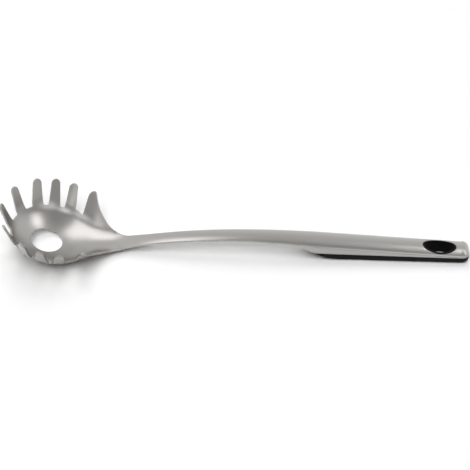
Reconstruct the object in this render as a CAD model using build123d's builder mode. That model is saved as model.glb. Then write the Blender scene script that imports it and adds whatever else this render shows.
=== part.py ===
from build123d import *
from math import ceil, cos, exp, hypot, log, radians, sin, sqrt, tan
import os

# A pasta server: a pressed steel bowl with eleven tines, a channel stem and a shell handle
# with a soft grip under it. It lies on a table as it does on a worktop. X runs along the
# tool towards the end of the handle, Y across it and Z up, and the origin is on the table,
# midway along the tool. Lengths are millimetres and angles are degrees.

os.makedirs("parts", exist_ok=True)

# Whole tool
overall_length = 335.0  # front tip to the end of the handle
sheet = 1.6  # thickness of the steel
overrun = 30.0  # how far a trimming solid runs past what it trims
surface_step = 4.0  # spacing of the points that carry the pressed surface
surface_tolerance = 0.05

# Bowl, in a frame of its own: on the bowl's axis, level with the bottoms of the gaps
bowl_pitch = 14.6  # the bowl leans back towards the handle
floor_radius = 50.0  # dish of the floor
floor_slope = 30.0  # slope where the floor turns up into the wall
wall_radius = 18.0  # that turn
tine_slope = 62.0  # slope where the turn ends and the straight tines begin
gap_radius = 28.7  # bottoms of the gaps, from the axis
tip_radius = 38.8  # tips of the tines, from the axis
drain_radius = 11.6
drain_offset = 2.7  # the drain hole lies this far in front of the axis

# Tines, from the front one round to the last but one of each side
tine_root = 8.4  # width at the bottoms of the gaps
tine_end = 6.3  # width where the round tip begins
tine_angles = (0, 32.5, 61, 85.5, 108.5)  # round from the front
tine_lean_shares = (0, 0.04, -0.06, 0.2, 0.4)  # tip set towards the front, of tine_root

# Last tine of each side, whose rear edge sweeps down into the neck
rear_tine_x = 25.6  # rear corner of its tip
rear_tine_y = 30.9
rear_tip_shares = ((0.476, 0.903), (0.75, 0.761), (0.797, 1.023), (0.895, 1.055))
flare_shares = ((0.08, 0.81), (0.18, 0.63), (0.26, 0.52), (0.35, 0.4), (0.45, 0.28), (0.72, 0.09))

# Trough behind the bowl, and the neck
trough_rise = 4.9  # slope of the trough's floor over the table
trough_limit = 30.0  # the sides of the trough stay those of the bowl at this radius
trough_blend = 4.0  # how softly they come to it
flatten_start = 42.0  # the dished section starts to flatten here
flatten_run = 14.0
neck_bend_start = 46.0
neck_bend_run = 10.0
neck_rise = 13.0  # slope of the neck over the table
neck_reach = 58.0  # the stem takes over here
neck_half_width = 5.2

# Stem and handle from the side: a long crest, then a straight fall to the end
handle_end_height = 8.3  # of the back, over the table
handle_fall = 3.4  # slope of the handle's back
fall_length = 115.8  # the fall starts this far from the end
handle_length = 127.5  # the channel becomes the handle's shell this far from the end
straight_length = 101.5  # the handle keeps its full width for this far from the end

# Section of the stem from the neck to the full width: how far along, and its width, arch and
# corner as shares of those of the handle
handle_half_width = 8.7
crown_radius = 16.0  # arch of the handle's back
corner_radius = 3.0  # from the back into the sides
inner_corner_radius = 0.5  # least radius inside a bend of the sheet
section_shares = (
    (0.00, 0.60, 0.18, 0.20),
    (0.10, 0.56, 0.42, 0.20),
    (0.30, 0.63, 0.78, 0.25),
    (0.55, 0.71, 0.95, 0.28),
    (0.78, 0.82, 1.00, 0.38),
    (0.90, 0.93, 1.00, 0.70),
    (1.00, 1.00, 1.00, 1.00),
)

# Lower edge of the steel, from the side
channel_depth = 3.0  # of the stem where it meets the handle
edge_shares = (0, 0.33, 0.67, 1)  # where the stem's lower edge is set out
skirt_length = 112.0  # the lower edge has swept down this far from the end
skirt_height = 6.6  # over the table where the sweep ends
skirt_end_height = 5.2  # over the table at the end of the handle
sweep_slope = -0.8  # height over run where the sweep meets the skirt

# End of the handle
end_corner_radius = 6.0  # seen from above
end_crown_radius = 4.0  # seen from the side

# Hanging hole and its liner
hole_length = 23.8
hole_width = 13.8
hole_from_end = 21.4
oval_share = 1.2  # radius of the oval's ends over an ellipse's sharpest radius
funnel_depth = 3.2  # the hole runs straight down this far and then narrows
funnel_taper = 22.0
liner_wall = 1.2
liner_lift = 0.4  # the liner ends this far over the table

# Core inside the handle
fit = 0.15  # gap between the core or the liner and what holds it
core_length = 105.5
core_floor = 1.4
core_wall = 1.5
core_bay_count = 6

# Soft grip under the handle
grip_length = 111.0
grip_flat_length = 83.5  # it lies flat on the table this far from the end
grip_inset = 0.2  # its sides stay inside the steel's
grip_edge_radius = 2.2
grip_end_radius = 3.5


def rise_over_run(angle):
    return tan(radians(angle))


def arc_rise(radius, start_slope, run):
    """Height gained along a crest of this radius that starts out at this slope."""
    start = radius * sin(radians(start_slope))
    return sqrt(radius**2 - (start - run) ** 2) - radius * cos(radians(start_slope))


# Places that follow from the sizes
floor_edge = floor_radius * sin(radians(floor_slope))
turn_start = wall_radius * sin(radians(floor_slope))
wall_edge = floor_edge + wall_radius * sin(radians(tine_slope)) - turn_start
trough_slope = bowl_pitch + trough_rise
trough_start = floor_radius * sin(radians(trough_slope))
neck_slope = bowl_pitch + neck_rise
neck_bend_radius = neck_bend_run / (sin(radians(neck_slope)) - sin(radians(trough_slope)))


def bowl_height(radius):
    """Height of the bowl's inside over its deepest point, at a radius from the axis."""
    dish = min(radius, floor_edge)
    turn = turn_start + min(max(radius, floor_edge), wall_edge) - floor_edge
    dish_rise = floor_radius - sqrt(floor_radius**2 - dish**2)
    turn_rise = wall_radius * cos(radians(floor_slope)) - sqrt(wall_radius**2 - turn**2)
    return dish_rise + turn_rise + max(radius - wall_edge, 0) * rise_over_run(tine_slope)


def middle_height(x):
    """Height of the pressing along its middle line, over the bowl's deepest point."""
    if x < trough_start:
        return bowl_height(abs(x))
    straight = (min(x, neck_bend_start) - trough_start) * rise_over_run(trough_slope)
    bend = min(max(x - neck_bend_start, 0), neck_bend_run)
    bend_rise = -arc_rise(neck_bend_radius, -trough_slope, bend)
    tail = max(x - neck_bend_start - neck_bend_run, 0) * rise_over_run(neck_slope)
    return bowl_height(trough_start) + straight + bend_rise + tail


def press_height(x, y):
    """Height of the pressing's inside over the bottoms of the gaps, anywhere on the blank."""
    if x < 0:
        return bowl_height(hypot(x, y)) - bowl_height(gap_radius)
    radius = trough_limit - trough_blend * log(1 + exp((trough_limit - x) / trough_blend))
    step = min(max((x - flatten_start) / flatten_run, 0), 1)
    dished = 1 - step**2 * (3 - 2 * step)
    side = (bowl_height(hypot(radius, y)) - bowl_height(radius)) * dished
    return middle_height(x) + side - bowl_height(gap_radius)


# The bowl's floor touches the table, and the front tip is at the front end of the tool
tilt_cos = cos(radians(bowl_pitch))
tilt_sin = sin(radians(bowl_pitch))
tip_height = press_height(-tip_radius, 0)
tip_reach = tip_radius + sheet * sin(radians(tine_slope))
tip_back_height = tip_height - sheet * cos(radians(tine_slope))
bowl_x = -overall_length / 2 + tip_reach * tilt_cos - tip_back_height * tilt_sin
bowl_z = floor_radius + sheet - (floor_radius - bowl_height(gap_radius)) * tilt_cos
bowl_axis = (tilt_sin, 0, tilt_cos)
bowl_plane = Plane((bowl_x, 0, bowl_z), x_dir=(tilt_cos, 0, -tilt_sin), z_dir=bowl_axis)

# Where the stem takes over from the bowl's pressing, and where the tool ends
neck_height = press_height(neck_reach, 0)
neck_x = bowl_x + neck_reach * tilt_cos + neck_height * tilt_sin
neck_z = bowl_z - neck_reach * tilt_sin + neck_height * tilt_cos
neck_ahead = Vector(cos(radians(neck_rise)), 0, sin(radians(neck_rise)))
neck_plane = Plane((neck_x, 0, neck_z), x_dir=(0, 1, 0), z_dir=neck_ahead)
end_x = overall_length / 2
shoulder_x = end_x - straight_length
handle_start_x = end_x - handle_length
skirt_start_x = end_x - skirt_length
grip_start_x = end_x - grip_length
core_start_x = end_x - core_length
hole_x = end_x - hole_from_end
fall_start_x = end_x - fall_length
crest_run = fall_start_x - neck_x
crest_gain = handle_end_height + fall_length * rise_over_run(handle_fall) - neck_z


def crown_height(x):
    """Height of the back of the stem and handle over the table."""
    if x > fall_start_x:
        return handle_end_height + (end_x - x) * rise_over_run(handle_fall)
    along = (x - neck_x) / crest_run
    rise = crest_run * rise_over_run(neck_rise)
    fall = crest_run * rise_over_run(handle_fall)
    bend = (3 * crest_gain - 2 * rise + fall) * along**2
    return neck_z + rise * along + bend + (rise - fall - 2 * crest_gain) * along**3


def skirt_line(x):
    """Height of the handle's lower steel edge over the table."""
    share = (x - skirt_start_x) / skirt_length
    return skirt_height + (skirt_end_height - skirt_height) * share


def half_width(x):
    """Half the width of the stem or handle."""
    along = (x - neck_x) / (shoulder_x - neck_x)
    if along > 1:
        return handle_half_width
    for low, high in zip(section_shares, section_shares[1:]):
        if along <= high[0]:
            break
    between = max(along - low[0], 0) / (high[0] - low[0])
    return handle_half_width * (low[1] + (high[1] - low[1]) * between)


def arched_outline(x, width_share, arch_share, corner_share, inset):
    """Return the closed section of the stem or handle at x, with its wall inset."""
    half = handle_half_width * width_share - inset
    top = crown_height(x) - inset
    crown = crown_radius / arch_share - inset
    corner = max(corner_radius * corner_share - inset, inner_corner_radius)
    drop = crown - sqrt((crown - corner) ** 2 - (half - corner) ** 2)
    meet_y = (half - corner) * crown / (crown - corner)
    meet_z = top - crown + (crown - drop) * crown / (crown - corner)
    with BuildLine() as outline:
        Line((half, -overrun), (half, top - drop))
        TangentArc((half, top - drop), (meet_y, meet_z), tangent=(0, 1))
        ThreePointArc((meet_y, meet_z), (0, top), (-meet_y, meet_z))
        TangentArc((-half, top - drop), (-meet_y, meet_z), tangent=(0, 1))
        Polyline((-half, top - drop), (-half, -overrun), (half, -overrun))
    return outline.edges()


def end_outline(inset):
    """Return the outline of the tool from above, with its rounded end."""
    half = handle_half_width - inset
    end = end_x - inset
    corner = end_corner_radius - inset
    with BuildLine() as outline:
        Line((end, 0), (end, half - corner))
        TangentArc((end, half - corner), (end - corner, half), tangent=(0, 1))
        Polyline((end - corner, half), (end - corner, overrun), (neck_x - overrun, overrun))
        Line((neck_x - overrun, overrun), (neck_x - overrun, 0))
        mirror(about=Plane.XZ)
    return outline.edges()


def back_outline(inset):
    """Return the outline of the tool from the side, its back rounded into its end."""
    end = end_x - inset
    corner = end_crown_radius - inset
    top = crown_height(end_x - end_crown_radius) - inset
    with BuildLine() as outline:
        Polyline((end - corner, overrun), (neck_x - overrun, overrun), (neck_x - overrun, -overrun))
        Polyline((neck_x - overrun, -overrun), (end, -overrun), (end, top - corner))
        TangentArc((end, top - corner), (end - corner, top), tangent=(0, 1))
        Line((end - corner, top), (end - corner, overrun))
    return outline.edges()


def arched_body(inset):
    """Return the filled stem and handle, with every face inset and no lower edge yet."""
    with BuildPart() as body:
        for along, width_share, arch_share, corner_share in section_shares:
            x = neck_x - sheet + along * (shoulder_x - neck_x + sheet)
            with BuildSketch(Plane.YZ.offset(x)):
                make_face(arched_outline(x, width_share, arch_share, corner_share, inset))
        loft()
        with BuildSketch(Plane.YZ.offset(shoulder_x)):
            make_face(arched_outline(shoulder_x, 1, 1, 1, inset))
        back_line = Vector(1, 0, -rise_over_run(handle_fall))
        extrude(amount=straight_length + overrun, dir=back_line)
        with BuildSketch(Plane.XY):
            make_face(end_outline(inset))
        extrude(amount=overrun * 2, both=True, mode=Mode.INTERSECT)
        with BuildSketch(Plane.XZ):
            make_face(back_outline(inset))
        extrude(amount=overrun, both=True, mode=Mode.INTERSECT)
    return body.part


def oval(inset):
    """Return the hanging hole's outline of four arcs, close to an ellipse, set in by inset."""
    long, short = hole_length / 2, hole_width / 2
    end_radius = oval_share * short**2 / long
    end_middle = long - end_radius
    side_radius = (end_middle**2 + short**2 - end_radius**2) / (short - end_radius) / 2
    across = (side_radius - short) / (side_radius - end_radius)
    join_x = end_middle + (end_radius - inset) * sqrt(1 - across**2)
    join_y = (end_radius - inset) * across
    corners = [(hole_x + join_x, join_y), (hole_x - join_x, join_y)]
    corners += [(hole_x - join_x, -join_y), (hole_x + join_x, -join_y)]
    with BuildLine() as outline:
        ThreePointArc(corners[0], (hole_x, short - inset), corners[1])
        ThreePointArc(corners[1], (hole_x - long + inset, 0), corners[2])
        ThreePointArc(corners[2], (hole_x, inset - short), corners[3])
        ThreePointArc(corners[3], (hole_x + long - inset, 0), corners[0])
    return outline.edges()


def funnel(inset):
    """Return the plug of the hanging hole, straight and then tapered, with its wall inset."""
    waist = crown_height(hole_x) - funnel_depth
    with BuildPart() as plug:
        with BuildSketch(Plane.XY.offset(waist)):
            make_face(oval(inset))
        extrude(amount=overrun)
        with BuildSketch(Plane.XY.offset(waist)):
            make_face(oval(inset))
        extrude(amount=-(waist + liner_lift), taper=funnel_taper)
    return plug.part


# Blank of the bowl, drawn over half its width and mirrored, in the bowl's frame
with BuildPart() as blank:
    with BuildSketch(Plane.XY.offset(-overrun)):
        Circle(tip_radius)
    extrude(amount=overrun)
    tip_arc = -tine_end / 2
    for angle, lean_share in zip(tine_angles, tine_lean_shares):
        ahead = Vector(-cos(radians(angle)), sin(radians(angle)), 0)
        tine_plane = Plane(ahead * (gap_radius - tine_root), x_dir=(-ahead.Y, ahead.X, 0), z_dir=ahead)
        lean = tine_root * lean_share
        shoulder = tip_height - tine_end / 2
        root = tine_root / 2
        with BuildSketch(tine_plane):
            with BuildLine():
                Line((root, 0), (lean + tine_end / 2, shoulder))
                RadiusArc((lean + tine_end / 2, shoulder), (lean - tine_end / 2, shoulder), tip_arc)
                Line((lean - tine_end / 2, shoulder), (-root, 0))
                Polyline((-root, 0), (-root, -sheet), (root, -sheet), (root, 0))
            make_face()
        extrude(amount=tip_radius)
    neck_end = neck_reach + sheet  # cut back to the neck's plane once it has its thickness
    flare_x = neck_reach - rear_tine_x
    flare_y = rear_tine_y - neck_half_width
    flare = [(rear_tine_x + flare_x * x, neck_half_width + flare_y * y) for x, y in flare_shares]
    rear_tip = [(rear_tine_x * x, rear_tine_y * y) for x, y in rear_tip_shares]
    with BuildSketch(Plane.XY.offset(-overrun)):
        with BuildLine():
            Polyline((neck_end, 0), (0, 0), *rear_tip[:3])
            ThreePointArc(rear_tip[2], rear_tip[3], (rear_tine_x, rear_tine_y))
            Spline((rear_tine_x, rear_tine_y), *flare, (neck_reach, neck_half_width))
            Polyline((neck_reach, neck_half_width), (neck_end, neck_half_width), (neck_end, 0))
        make_face()
    extrude(amount=overrun * 2)
    mirror(about=Plane.XZ)
    with BuildSketch(Plane.XY.offset(-overrun)):
        with Locations((-drain_offset, 0)):
            Circle(drain_radius)
    extrude(amount=overrun, mode=Mode.SUBTRACT)

# Server head: the pressed surface cut to the blank, and given its thickness
reach = surface_step * ceil(tip_radius / surface_step)
columns = range(ceil((reach + neck_reach + surface_step) / surface_step) + 1)
rows = range(2 * ceil(reach / surface_step) + 1)
grid_x = [surface_step * column - reach for column in columns]
grid_y = [surface_step * row - reach for row in rows]
grid = [[Vector(x, y, press_height(x, y)) for y in grid_y] for x in grid_x]
pressed = Face.make_surface_from_array_of_points(grid, tol=surface_tolerance)
inside = bowl_plane.location * (pressed & blank.part)
with BuildPart() as server_head:
    thicken(inside, amount=-sheet)
    split(bisect_by=neck_plane, keep=Keep.BOTTOM)

# Stem and handle: one arched channel, trimmed along its lower edge
outer_body = arched_body(0)
inner_body = arched_body(sheet)
core_body = arched_body(sheet + fit)

with BuildPart() as channel:
    add(outer_body)
    add(inner_body, mode=Mode.SUBTRACT)
    lower_edge = []
    for share in edge_shares:
        x = neck_x - sheet + share * (handle_start_x - neck_x + sheet)
        lower_edge.append((x, crown_height(x) - sheet - share * (channel_depth - sheet)))
    with BuildSketch(Plane.XZ):
        with BuildLine():
            stem_edge = Spline(*lower_edge)
            Spline(
                stem_edge @ 1,
                (skirt_start_x, skirt_height),
                tangents=(stem_edge % 1, (1, sweep_slope)),
            )
            Line((skirt_start_x, skirt_height), (end_x, skirt_end_height))
            Polyline((end_x, skirt_end_height), (end_x, overrun), (lower_edge[0][0], overrun))
            Line((lower_edge[0][0], overrun), lower_edge[0])
        make_face()
    extrude(amount=overrun, both=True, mode=Mode.INTERSECT)
    split(bisect_by=neck_plane, keep=Keep.TOP)

with BuildPart() as stem:
    add(channel.part)
    split(bisect_by=Plane.YZ.offset(handle_start_x), keep=Keep.BOTTOM)

with BuildPart() as handle_shell:
    add(channel.part)
    split(bisect_by=Plane.YZ.offset(handle_start_x), keep=Keep.TOP)
    with BuildSketch(Plane.XY):
        make_face(oval(-fit))
    extrude(amount=overrun, mode=Mode.SUBTRACT)


# Liner of the hanging hole, flush with the steel round it
with BuildPart() as hole_liner:
    add(funnel(0))
    add(funnel(liner_wall), mode=Mode.SUBTRACT)
    add(outer_body, mode=Mode.INTERSECT)
    split(bisect_by=Plane.XY.offset(liner_lift), keep=Keep.TOP)

# Core: a moulded tray that fills the shell, with bays between its ribs
with BuildPart() as handle_core:
    add(core_body)
    with BuildSketch(Plane.XZ):
        with BuildLine():
            Polyline(
                (core_start_x, skirt_line(core_start_x)),
                (end_x, skirt_end_height),
                (end_x, overrun),
                (core_start_x, overrun),
                close=True,
            )
        make_face()
    extrude(amount=overrun, both=True, mode=Mode.INTERSECT)
    bay_end_x = hole_x - hole_length / 2 - core_wall
    bay_pitch = (bay_end_x - core_start_x - core_wall) / core_bay_count
    bay_width = handle_half_width - sheet - fit - core_wall * 3 / 2
    bay_middle = (bay_width + core_wall) / 2
    for bay in range(core_bay_count):
        bay_x = core_start_x + core_wall + bay_pitch * (bay + 0.5) - core_wall / 2
        with BuildSketch(Plane.XY.offset(skirt_line(bay_x) + core_floor)):
            with Locations((bay_x, bay_middle), (bay_x, -bay_middle)):
                Rectangle(bay_pitch - core_wall, bay_width)
        extrude(amount=overrun, mode=Mode.SUBTRACT)
    add(funnel(-fit), mode=Mode.SUBTRACT)

# Soft grip: fills up from the table to the steel's lower edge
with BuildPart() as soft_grip:
    with BuildSketch(Plane.XZ):
        with BuildLine():
            Spline(
                (grip_start_x, skirt_line(grip_start_x)),
                (end_x - grip_flat_length, 0),
                tangents=((1, sweep_slope * 2), (1, 0)),
            )
            Line((end_x - grip_flat_length, 0), (end_x - grip_end_radius, 0))
            TangentArc((end_x - grip_end_radius, 0), (end_x, grip_end_radius), tangent=(1, 0))
            Line((end_x, grip_end_radius), (end_x, skirt_end_height))
            Line((end_x, skirt_end_height), (grip_start_x, skirt_line(grip_start_x)))
        make_face()
    extrude(amount=overrun, both=True)
    side = handle_half_width - grip_inset
    front_side = half_width(grip_start_x) - grip_inset
    corner_x = end_x - end_corner_radius
    with BuildSketch(Plane.XY):
        with BuildLine():
            Line((end_x, 0), (end_x, side - end_corner_radius))
            TangentArc((end_x, side - end_corner_radius), (corner_x, side), tangent=(0, 1))
            Polyline((corner_x, side), (grip_start_x, front_side), (grip_start_x, 0))
            mirror(about=Plane.XZ)
        make_face()
    extrude(amount=overrun, mode=Mode.INTERSECT)
    low = soft_grip.edges().filter_by(lambda edge: edge.center().Z < grip_end_radius)
    low_sides = low.filter_by(lambda edge: abs(edge.center().Y) > front_side / 2)
    fillet(low_sides.filter_by(Axis.Z, reverse=True), grip_edge_radius)
    add(funnel(-fit), mode=Mode.SUBTRACT)

pieces = {
    "server_head": server_head,
    "stem": stem,
    "handle_shell": handle_shell,
    "hole_liner": hole_liner,
    "handle_core": handle_core,
    "soft_grip": soft_grip,
}
for name, piece in pieces.items():
    piece.part.label = name
    export_step(piece.part, f"parts/{name}.step")
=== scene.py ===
import math

import bmesh
import bpy
import numpy as np
from mathutils import Matrix, Vector
from mathutils.geometry import delaunay_2d_cdt


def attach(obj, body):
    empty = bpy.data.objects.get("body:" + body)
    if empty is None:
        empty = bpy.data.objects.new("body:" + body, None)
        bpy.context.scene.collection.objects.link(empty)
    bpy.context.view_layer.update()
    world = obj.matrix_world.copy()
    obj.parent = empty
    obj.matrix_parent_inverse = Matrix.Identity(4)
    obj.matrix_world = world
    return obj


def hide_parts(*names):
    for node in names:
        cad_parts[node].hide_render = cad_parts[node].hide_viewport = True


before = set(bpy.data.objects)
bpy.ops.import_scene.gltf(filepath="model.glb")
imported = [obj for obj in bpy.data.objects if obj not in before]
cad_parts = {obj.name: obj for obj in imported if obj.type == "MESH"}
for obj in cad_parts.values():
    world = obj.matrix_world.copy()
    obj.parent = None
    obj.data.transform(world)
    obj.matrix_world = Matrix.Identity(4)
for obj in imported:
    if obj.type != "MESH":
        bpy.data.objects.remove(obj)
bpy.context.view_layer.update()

bl_info = {
    "name": "Pasta server",
    "version": (1, 0, 0),
    "blender": (4, 5, 0),
    "location": "3D View > Sidebar > Pasta server",
    "description": "Pressed stainless pasta server with a soft grip, on a white table",
    "category": "Object",
}

MM = 0.001
FLOOR = 0.0
TABLE_REACH = 6.0
BOWL = Vector((-0.13, 0, 0.01))  # the lights are turned towards this point
FADE_START, FADE_END = 0.28, 0.8  # distances where the table fades into the backdrop
END_X = 335.0 * MM / 2  # the handle's end; the tool lies along X with its middle at the origin

# how finely the meshes are made
PROBE, BACK_PROBE = 0.02 * MM, 0.05 * MM  # steps for measuring the slope of pressing and back
HALVINGS = 40
TOUCHING, ON_AXIS = 1e-7, 1e-6  # distances that count as none
CORNER_BEND, SLIGHT_BEND = 0.93, 0.97  # cosines under which a line turns a corner, or bends
EDGE_POINTS, TIP_POINTS, GAP_POINTS, REAR_TIP_POINTS, FLARE_POINTS = 16, 13, 9, 12, 90
CORNER_POINTS, DRAIN_POINTS, NECK_POINTS = 5, 96, 15
RIM_STEPS = 4
OUTLINE_SHARE, CLEAR_SHARE = 0.6, 0.55  # spacing and free strip of an outline, over the spacing
CROWN_STEPS, CORNER_STEPS, SIDE_STEPS = 12, 7, 5
STEM_STATIONS, SWEEP_STATIONS, HANDLE_STATIONS, END_STATIONS = 64, 30, 76, 16
HOLE_SHARES = (0.2, 0.4, 0.6, 0.8, 1.0)  # rings between the grid of the back and the hole
EDGE_TURNS = (30, 60, 90)  # degrees
END_FLAT = 0.2 * MM  # flat end of the steel back
HOLE_MARGIN, SIDE_MARGIN = 3.2 * MM, 0.1 * MM  # from the hole to the grid, along and across
SWEEP_EASE, SWEEP_DIVE = 0.2 * MM, -0.55  # how the lower edge leaves the stem and meets the skirt
LEAST_ARCH = 1e-6  # flatter than this is flat
MERGE = 0.01 * MM  # points closer than this become one
SHARP = math.radians(50)  # edges that turn more than this are shaded sharp

# lines of the pressing, in its own frame
TINES = ((0, 0), (32.5, 0.04), (61, -0.06), (85.5, 0.2), (108.5, 0.4))  # degrees, lean share
REAR_TIP = ((0.476, 0.903), (0.75, 0.761), (0.797, 1.023), (0.895, 1.055))  # of rear_x, rear_y
FLARE = (  # from the rear tine to the neck, as shares of the way along and across
    (0.08, 0.81), (0.18, 0.63), (0.26, 0.52), (0.35, 0.4), (0.45, 0.28), (0.72, 0.09), (0.88, 0.02)
)

# the stem's section: share of the way to the full handle, half width, arch and corner as shares
STATIONS = (
    (0.00, 0.655, 0.00, 0.10),
    (0.10, 0.605, 0.42, 0.20),
    (0.30, 0.645, 0.78, 0.25),
    (0.55, 0.710, 0.95, 0.28),
    (0.78, 0.820, 1.00, 0.38),
    (0.90, 0.930, 1.00, 0.70),
    (1.00, 1.000, 1.00, 1.00),
)


# Settings: sizes in metres, angles in radians, colours as sRGB hex


def length(name, size_mm, description):
    return bpy.props.FloatProperty(
        name=name, description=description, default=size_mm * MM, unit="LENGTH", precision=5
    )


def angle(name, degrees, description):
    return bpy.props.FloatProperty(
        name=name, description=description, default=math.radians(degrees), subtype="ANGLE"
    )


def number(name, value, description):
    return bpy.props.FloatProperty(name=name, description=description, default=value, precision=4)


def colour(name, value, description):
    return bpy.props.StringProperty(name=name, description=description, default=value)


class HeadSizes(bpy.types.PropertyGroup):
    sheet: length("Sheet", 1.6, "Thickness of the pressed steel")
    edge: length("Edge rounding", 0.3, "Radius on the cut edges after tumbling")
    pitch: angle("Pitch", 14.6, "How far the bowl leans back towards the handle")
    floor_radius: length("Floor dish", 50.0, "Dish radius of the bowl's floor")
    floor_slope: angle("Floor slope", 30.0, "Slope where the floor turns up into the wall")
    wall_radius: length("Wall turn", 18.0, "Radius of the turn from floor to wall")
    tine_slope: angle("Tine slope", 62.0, "Slope of the straight tines")
    gap_radius: length("Gap bottoms", 28.7, "Distance of the gap bottoms from the bowl's axis")
    tip_radius: length("Tine tips", 38.8, "Distance of the tips from the bowl's axis")
    drain_radius: length("Drain hole", 11.6, "Radius of the drain hole")
    drain_offset: length("Drain offset", 2.7, "How far the drain hole lies in front of the axis")
    tine_root: length("Tine root", 8.4, "Width of a tine at the gap bottoms")
    tine_end: length("Tine end", 6.3, "Width of a tine where its round tip begins")
    corner: length("Gap corners", 0.7, "Rounding in the corners of the gaps")
    rear_x: length("Rear tine, along", 25.6, "Rear corner of the last tine, along the bowl")
    rear_y: length("Rear tine, across", 30.9, "Rear corner of the last tine, across the bowl")
    trough_rise: angle("Trough rise", 4.9, "Slope of the trough's floor over the table")
    trough_limit: length("Trough limit", 30.0, "The trough's sides stay as they are from here")
    trough_blend: length("Trough blend", 4.0, "How softly the sides come to that limit")
    flatten_start: length("Flattening start", 42.0, "The dished section starts to flatten here")
    flatten_run: length("Flattening run", 14.0, "Length over which it flattens")
    bend_start: length("Neck bend start", 46.0, "The neck starts to bend here")
    bend_run: length("Neck bend run", 10.0, "Length of the neck's bend")
    neck_rise: angle("Neck rise", 13.0, "Slope of the neck over the table")
    neck_reach: length("Neck reach", 58.0, "The stem takes over here")
    neck_half_width: length("Neck half width", 5.7, "Half the width of the neck")
    spacing: length("Mesh spacing", 0.8, "Spacing of the mesh points on the pressing")


class HandleSizes(bpy.types.PropertyGroup):
    end_height: length("End height", 8.3, "Height of the handle's back at its end")
    fall: angle("Fall", 3.4, "Slope of the handle's back towards its end")
    fall_length: length("Fall length", 115.8, "The fall starts this far from the end")
    handle_length: length("Handle", 127.5, "The stem becomes the handle this far from the end")
    straight_length: length("Full width", 101.5, "The handle keeps its full width this far")
    half_width: length("Half width", 8.7, "Half the width of the handle")
    crown_radius: length("Crown", 16.0, "Arch of the handle's back")
    corner_radius: length("Corner", 2.2, "Radius from the back into the sides")
    channel_depth: length("Channel depth", 3.0, "Depth of the stem where it meets the handle")
    skirt_length: length("Skirt", 112.0, "The lower edge has swept down this far from the end")
    skirt_height: length("Skirt height", 6.6, "Lower steel edge over the table, at its start")
    skirt_end_height: length("Skirt end height", 5.2, "Lower steel edge over the table, at the end")
    end_corner: length("End corner", 6.0, "Rounding of the end, seen from above")
    end_crown: length("End crown", 4.0, "Rounding of the end, seen from the side")
    hole_from_end: length("Hole from the end", 21.4, "Middle of the hanging hole from the end")
    hole_length: length("Hole length", 23.8, "Length of the hanging hole")
    hole_width: length("Hole width", 13.8, "Width of the hanging hole")
    hole_fit: length("Hole fit", 0.15, "Gap between the steel and the liner")


class LinerSizes(bpy.types.PropertyGroup):
    wall: length("Wall", 1.2, "Wall of the liner")
    lip: length("Lip rounding", 0.3, "Radius on the edges of the lip")
    straight: length("Straight depth", 3.2, "The hole runs straight down this far, then narrows")
    taper: angle("Taper", 22.0, "How much it narrows below that")
    foot: length("Foot", 0.4, "The liner ends this far over the table")


class Finishes(bpy.types.PropertyGroup):
    steel: colour("Steel", "#B6B4B1", "Satin stainless steel")
    steel_dark: colour("Steel, darker streaks", "#A9A7A4", "Streaks left by the brushing")
    rubber: colour("Soft grip", "#070707", "Black thermoplastic rubber")
    nylon: colour("Nylon", "#060606", "Black nylon of the liner and the core")
    floor: colour("Floor", "#FFFFFF", "White table")


class Stage(bpy.types.PropertyGroup):
    lens: number("Lens", 94.56, "Focal length in millimetres on a 36 mm sensor")
    target: bpy.props.FloatVectorProperty(
        name="Target", description="Point the camera looks at, in metres",
        default=(-0.00043, 0.00109, 0.01374), subtype="TRANSLATION", precision=5,
    )
    distance: length("Distance", 886.36, "Camera to target")
    elevation: angle("Elevation", 43.53, "Height of the camera above the horizon")
    azimuth: angle("Azimuth", 2.83, "Turn of the camera round the object")
    roll: angle("Roll", -0.5, "Roll of the camera")
    key_level: number("Light above", 1.9, "Radiance of the large soft light above")
    side_level: number("Light on the right", 3.1, "Radiance of the soft light on the right")
    left_level: number("Light on the left", 1.15, "Radiance of the soft light on the left")
    front_level: number("Light above the front", 2.2, "Radiance of the soft light above the front")
    fill_level: number("Light in front", 1.4, "Radiance of the small soft light in front")
    handle_level: number("Light at the handle", 0.95, "Radiance of the soft light by the handle")
    broad_front_level: number("Broad light, front", 4.13, "Radiance of the broad light in front")
    broad_back_level: number("Broad light, back", 2.53, "Radiance of the broad light behind")
    broad_above_level: number("Broad light, above", 0.3, "Radiance of the broad light above")
    room_level: number("Room", 0.52, "How light the room in front of the tool is")
    ceiling_share: number("Ceiling", 0.72, "How light the ceiling is, as a share of the walls")


# Forms of the pressing


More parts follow.
